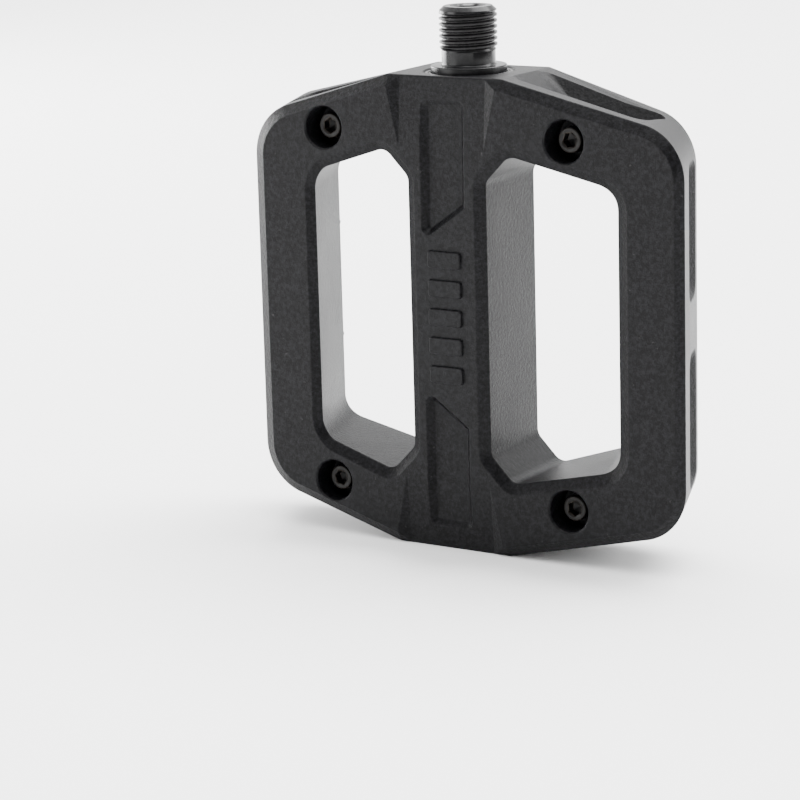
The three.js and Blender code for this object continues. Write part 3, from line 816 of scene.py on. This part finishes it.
def threadedPiece(name, below, above, thread, count):
    # below and above are rings; the helical flank runs between their facing rings
    zFrom, zTo = thread["from"], thread["to"]
    pitch, crest, root = thread["pitch"], thread["crest"], thread["crest"] - thread["depth"]
    rFrom, rTo = thread["fromRadius"], thread["toRadius"]
    rings = below + above
    vertices = [p for ring in rings for p in ring]
    faces = loftFaces(len(below), count)[:-1]
    offset = len(below) * count
    faces += [tuple(k + offset for k in face) for face in loftFaces(len(above), count)
              if face != tuple(reversed(range(count)))]
    phases = list(threadShape) + [(1.0, 1.0)]
    turns = math.ceil((zTo - zFrom) / pitch) + 1
    base = len(vertices)
    for i in range(turns * count + 1):
        angle = 2 * math.pi * (i % count) / count
        for phase, lift in phases:
            z = zFrom + pitch * (i / count + phase - 1)
            z = min(zTo, max(zFrom, z))
            r = root + (crest - root) * lift
            inStart = min(1, (z - zFrom) / (0.8 * pitch))
            inEnd = min(1, (zTo - z) / (0.8 * pitch))
            r = rFrom + (r - rFrom) * inStart
            r = rTo + (r - rTo) * inEnd
            vertices.append((r * math.cos(angle), r * math.sin(angle), z))
    width = len(phases)
    for i in range(turns * count):
        for j in range(width - 1):
            a = base + i * width + j
            faces.append((a, a + width, a + width + 1, a + 1))
    return pieceFrom(name, vertices, faces, 1e-3)


spindle = {
    "threadCrest": 6.35,
    "threadDepth": 0.68,
    "pitch": 1.27,
    "reach": 12.8,
    "threadStart": 3.0,
    "relief": 5.9,
    "flange": 8.35,
    "journal": 6.0,
    "stub": 4.0,
    "socket": 6.0,
    "colour": (0.006, 0.006, 0.0065, 1),
    "roughness": 0.22,
    "specular": 0.16,
    "grainHeight": 0.004,
    "grainScale": 1200.0,
    "softEdge": 0.12,
    "roughSpread": 0.1,
    "wornAndGlintColour": (0.05, 0.046, 0.042, 1),
    "wearAndGlint": 0.12,
}
spindleFinish = finishOf("blackSpindleSteel", spindle)


def buildSpindle():
    s = spindle
    count = 96
    low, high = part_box("spindle")
    end = low.z / mm
    raceLow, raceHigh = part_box("bearing_inner_race")
    stub = s["stub"]
    under = bodyTop - 1.6
    below = roundedPath([
        (0.4, end), (stub - 0.5, end), (stub - 0.1, end + 0.5), (stub - 0.1, raceLow.z / mm - 0.3),
        (stub, raceLow.z / mm), (stub, raceHigh.z / mm + 0.05), (5.0, raceHigh.z / mm + 0.05),
        (5.2, bodyTop - 27), (s["journal"], bodyTop - 24), (s["journal"], under),
        (s["flange"] - 0.6, under), (s["flange"], under + 0.3), (s["flange"], 0, 0.3),
        (s["relief"], 0, 0.5), (s["relief"], s["threadStart"])])
    above = roundedPath([(6.25, s["reach"] - 0.9), (5.3, s["reach"], 0.25), (3.9, s["reach"])])
    belowRings = [ringOf(r, z, count) for r, z in below]
    aboveRings = [ringOf(r, z, count) for r, z in above]
    aboveRings.append(ringOf(0, s["reach"] - 0.45, count, s["socket"]))
    aboveRings.append(ringOf(0, s["reach"] - 7.5, count, s["socket"]))
    aboveRings.append(ringOf(0.3, s["reach"] - 8.6, count))
    thread = {"from": s["threadStart"], "to": s["reach"] - 0.9, "pitch": s["pitch"],
              "crest": s["threadCrest"], "depth": s["threadDepth"],
              "fromRadius": s["relief"], "toRadius": 6.25}
    piece = threadedPiece("pedalSpindle", belowRings, aboveRings, thread, count)
    softShaded(piece, 30, 30)
    toMetres(piece)
    return piece


spindlePiece = buildSpindle()
dress(spindlePiece, spindleFinish, "spindle_steel", "spindle_assembly", "spindle")

pinScrew = {
    "headRadius": 2.9,
    "headHeight": 4.0,
    "crest": 1.95,
    "pitch": 0.8,
    "socket": 3.0,
    "socketDepth": 2.2,
    "colour": (0.004, 0.0038, 0.0035, 1),
    "roughness": 0.34,
    "specular": 0.13,
    "grainHeight": 0.006,
    "grainScale": 2600.0,
    "softEdge": 0.1,
    # brownish edge colour: partly worn steel, partly a painted highlight standing in for glints on the head
    "wornAndGlintColour": (0.10, 0.08, 0.06, 1),
    "wearAndGlint": 0.3,
}
screwFinish = finishOf("blackOxideScrew", pinScrew)


def buildScrew():
    p = pinScrew
    count = 48
    low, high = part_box("pin_screw_upper_left")
    headTop = low.y / mm
    seat = headTop + p["headHeight"]
    tip = high.y / mm
    below = [ringOf(0.2, headTop + p["socketDepth"] + 0.5, count),
             ringOf(0, headTop + p["socketDepth"], count, p["socket"]),
             ringOf(0, headTop + 0.2, count, p["socket"])]
    head = roundedPath([(1.9, headTop), (p["headRadius"] - 0.15, headTop, 0.35),
                        (p["headRadius"], seat, 0.1), (p["crest"], seat, 0.15), (p["crest"], halfThick)])
    below += [ringOf(r, z, count) for r, z in head]
    above = [ringOf(1.6, tip - 0.5, count), ringOf(1.25, tip - 0.05, count), ringOf(1.0, tip, count)]
    thread = {"from": halfThick, "to": tip - 0.5, "pitch": p["pitch"], "crest": p["crest"],
              "depth": 0.42, "fromRadius": p["crest"], "toRadius": 1.6}
    piece = threadedPiece("screwShape", below, above, thread, count)
    piece.data.transform(Matrix.Rotation(-math.pi / 2, 4, "X"))
    softShaded(piece, 30, 30)
    toMetres(piece)
    return piece


screwNames = [f"pin_screw_{height}_{across}"
              for across in ("left", "right") for height in ("upper", "lower")]
screwTurns = [(x, 0, z, 0, 0.7 * i, 0) for i, (x, z) in enumerate(screwPlaces)]
screws = scattered("pinScrews", buildScrew(), screwTurns, screwFinish)
dress(screws, screwFinish, "screw_steel", "platform", *screwNames)

squareNut = {
    "side": 7.0,
    "colour": (0.3, 0.29, 0.275, 1),
    "roughness": 0.42,
    "metallic": 0.9,
    "grainHeight": 0.01,
    "grainScale": 1500.0,
    "softEdge": 0.15,
    "wearAndGlint": 0.4,
}
nutFinish = finishOf("zincSteel", squareNut)


def buildNut():
    low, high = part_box("square_nut_upper_left")
    half = squareNut["side"] / 2
    count = 48
    loopAt = rectLoop(-half, half, -half, half, 0.3, 1)
    corner = [p for p in loopAt(0)]
    inner = pinScrew["crest"] + 0.05
    yLow, yHigh = low.y / mm, high.y / mm

    def square(y, grow):
        return [(p.x, y, p.y) for p in loopAt(grow)]

    def hole(y, radius):
        return [(Vector(p).normalized().x * radius, y, Vector(p).normalized().y * radius) for p in corner]

    rings = [square(yHigh, -0.3), square(yHigh - 0.2, 0), square(yLow + 0.2, 0), square(yLow, -0.3),
             hole(yLow, inner + 0.3), hole(yLow + 0.3, inner), hole(yHigh - 0.3, inner),
             hole(yHigh, inner + 0.3)]
    piece = loft("nutShape", rings, True)
    softShaded(piece, 30, 30)
    toMetres(piece)
    return piece


nutTurn = math.atan(shoulderSlope)
nutPlaces = [(x, 0, z, 0, math.copysign(nutTurn, x * (z - bodyMid)), 0) for x, z in screwPlaces]
nutNames = [name.replace("pin_screw", "square_nut") for name in screwNames]
nuts = scattered("squareNuts", buildNut(), nutPlaces, nutFinish)
dress(nuts, nutFinish, "zinc_steel", "platform", *nutNames)

crankSeal = {
    "colour": (0.012, 0.012, 0.012, 1),
    "roughness": 0.5,
    "grainHeight": 0.01,
    "softEdge": 0.1,
    "wearAndGlint": 0.1,
}
sealFinish = finishOf("sealRubber", crankSeal)


def buildSeal():
    low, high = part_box("crank_side_seal")
    top, bottom = high.z / mm, low.z / mm
    outer = high.x / mm
    inner = spindle["flange"] + 0.12
    profile = [(inner, bottom), (outer, bottom), (outer, top - 0.2), (outer - 0.2, top),
               (outer - 0.75, top), (outer - 0.9, top - 0.25), (outer - 1.2, top - 0.2),
               (inner, top + 0.05)]
    piece = turnedPiece("crankSeal", profile, 96, True)
    softShaded(piece, 35, 35)
    toMetres(piece)
    return piece


sealPiece = buildSeal()
dress(sealPiece, sealFinish, "seal_rubber", "platform", "crank_side_seal")

endCap = {
    "colour": (0.020, 0.020, 0.021, 1),
    "roughness": 0.42,
    "grainHeight": 0.02,
    "softEdge": 0.2,
    "wearAndGlint": 0.4,
}
capFinish = finishOf("capPlastic", endCap)


def buildCap():
    low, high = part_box("end_cap")
    face, back = low.z / mm, bodyBottom + 2.38
    spigotTop = high.z / mm
    radius = high.x / mm
    profile = roundedPath([
        (0.3, face + 1.1), (6.4, face + 1.1, 0.4), (7.5, face + 0.45, 0.3), (8.2, face + 0.45, 0.15),
        (8.45, face, 0.2), (9.25, face, 0.2), (9.45, face + 0.4), (9.85, face + 0.4), (10.0, face, 0.15),
        (radius, face, 0.2), (radius, back), (7.8, back), (7.8, back + 0.5), (6.9, back + 0.5),
        (6.9, back + 2), (7.8, back + 2), (7.8, spigotTop), (6.2, spigotTop), (6.2, back), (0.3, back)])
    piece = turnedPiece("capDisc", profile, 96)
    softShaded(piece, 30, 30)
    toMetres(piece)
    return piece


capPiece = buildCap()
dress(capPiece, capFinish, "cap_plastic", "platform", "end_cap")


def buildEmblem():
    low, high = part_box("end_cap")
    floor = low.z / mm + 1.1
    rings = []
    for r, z in roundedPath([(4.4, floor + 0.2), (4.2, floor - 0.45, 0.15), (3.2, floor - 0.45, 0.15),
                             (3.0, floor + 0.2)]):
        rings.append([(x, y, z) for x, y, _ in ringOf(0, 0, 72, 2 * r)])
    piece = loft("capEmblem", rings, True)
    softShaded(piece, 30, 30)
    toMetres(piece)
    return piece


emblem = buildEmblem()
dress(emblem, capFinish, "cap_plastic", "platform", "end_cap")
print("turned pieces made")


# remaining pieces keep their simple solids and take a better finish

steelBearing = finishOf("bearingSteel", {"colour": (0.5, 0.5, 0.51, 1), "roughness": 0.2, "metallic": 1.0,
                                         "grainHeight": 0.003, "softEdge": 0.1})
polymerBush = finishOf("bushPolymer", {"colour": (0.68, 0.63, 0.5, 1), "roughness": 0.5,
                                       "grainHeight": 0.01})
plainFinishes = {
    "bearing_outer_race": steelBearing, "bearing_inner_race": steelBearing, "bearing_cage": polymerBush,
    "inboard_bush": polymerBush, "bearing_shield_inner": sealFinish, "bearing_shield_outer": sealFinish,
    "cap_o_ring": sealFinish, "thrust_washer": nutFinish, "lock_nut": nutFinish,
}
for name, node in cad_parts.items():
    material = steelBearing if name.startswith("bearing_ball") else plainFinishes.get(name)
    if material is None:
        continue
    for index in range(len(node.material_slots)):
        node.material_slots[index].material = material
print("hidden pieces finished")


# floor, light and camera

floorHeight = bodyBottom * mm


def buildFloor():
    mesh = bpy.data.meshes.new("studioFloor")
    reach = 9.0
    mesh.from_pydata([(-reach, -reach, floorHeight), (reach, -reach, floorHeight),
                      (reach, reach, floorHeight), (-reach, reach, floorHeight)], [], [(0, 1, 2, 3)])
    floor = bpy.data.objects.new("studioFloor", mesh)
    bpy.context.scene.collection.objects.link(floor)
    material = bpy.data.materials.new("paleFloor")
    material.use_nodes = True
    shader = material.node_tree.nodes["Principled BSDF"]
    shader.inputs["Roughness"].default_value = 0.9
    shader.inputs["Specular IOR Level"].default_value = 0.1
    noise = material.node_tree.nodes.new("ShaderNodeTexNoise")
    noise.inputs["Scale"].default_value = 3.0
    place = material.node_tree.nodes.new("ShaderNodeTexCoord").outputs["Object"]
    material.node_tree.links.new(place, noise.inputs["Vector"])
    base = mixColours(material.node_tree, noise.outputs["Fac"], (0.92, 0.92, 0.92, 1),
                      (0.96, 0.96, 0.96, 1))
    material.node_tree.links.new(base, shader.inputs["Base Color"])
    mesh.materials.append(material)


buildFloor()

studioLight = {
    "top": 260.0,
    "overhead": 20.0,
    "right": 9.0,
    "left": 12.0,
    "edge": 20.0,
    "backdrop": 2.4,  # pale surroundings behind the pedal
    "room": 0.04,  # darker room in front of it
    "away": (-0.3, 0.75, 0.59),  # from the dark side to the pale side
}


def softbox(name, place, target, width, height, power):
    data = bpy.data.lights.new(name, "AREA")
    data.shape = "RECTANGLE"
    data.size = width
    data.size_y = height
    data.energy = power
    light = bpy.data.objects.new(name, data)
    bpy.context.scene.collection.objects.link(light)
    light.location = place
    light.rotation_euler = (Vector(target) - Vector(place)).to_track_quat("-Z", "Y").to_euler()
    light.visible_camera = False


middle = (0, 0, bodyMid * mm)
softbox("topSoftbox", (0.0, 1.3, 2.3), (0, 0.7, 0), 3.2, 2.2, studioLight["top"])
softbox("overheadSoftbox", (0.25, -0.55, 1.5), middle, 1.0, 1.0, studioLight["overhead"])
softbox("rightSoftbox", (0.8, 0.55, 0.3), middle, 0.5, 0.6, studioLight["right"])
softbox("leftSoftbox", (-0.95, -1.1, 0.16), middle, 0.9, 0.4, studioLight["left"])
softbox("edgeSoftbox", (-1.0, 0.2, 0.12), middle, 0.7, 0.4, studioLight["edge"])


def buildWorld():
    world = bpy.data.worlds.new("paleStudio")
    bpy.context.scene.world = world
    world.use_nodes = True
    tree = world.node_tree
    direction = tree.nodes.new("ShaderNodeTexCoord").outputs["Generated"]
    away = tree.nodes.new("ShaderNodeVectorMath")
    away.operation = "DOT_PRODUCT"
    tree.links.new(direction, away.inputs[0])
    away.inputs[1].default_value = studioLight["away"]
    ramp = tree.nodes.new("ShaderNodeMapRange")
    ramp.interpolation_type = "SMOOTHSTEP"
    tree.links.new(away.outputs["Value"], ramp.inputs["Value"])
    ramp.inputs["From Min"].default_value = -0.4
    ramp.inputs["From Max"].default_value = 0.75
    ramp.inputs["To Min"].default_value = studioLight["room"]
    ramp.inputs["To Max"].default_value = studioLight["backdrop"]
    seen = tree.nodes.new("ShaderNodeLightPath").outputs["Is Camera Ray"]
    behind = mathNode(tree, "MULTIPLY", seen, studioLight["backdrop"])
    strength = mathNode(tree, "MAXIMUM", ramp.outputs[0], behind)
    tree.links.new(strength, tree.nodes["Background"].inputs["Strength"])
    tree.nodes["Background"].inputs["Color"].default_value = (1, 1, 1, 1)


buildWorld()

viewpoint = {"lens": 134.55, "sensor": 36, "place": (0.3333, -0.55785, 0.078),
             "turn": (76.776, 1.531, 31.995)}  # degrees
cameraData = bpy.data.cameras.new("studioCamera")
cameraData.lens = viewpoint["lens"]
cameraData.sensor_width = viewpoint["sensor"]
camera = bpy.data.objects.new("studioCamera", cameraData)
bpy.context.scene.collection.objects.link(camera)
camera.location = viewpoint["place"]
camera.rotation_euler = tuple(math.radians(angle) for angle in viewpoint["turn"])
bpy.context.scene.camera = camera
print("stage set")
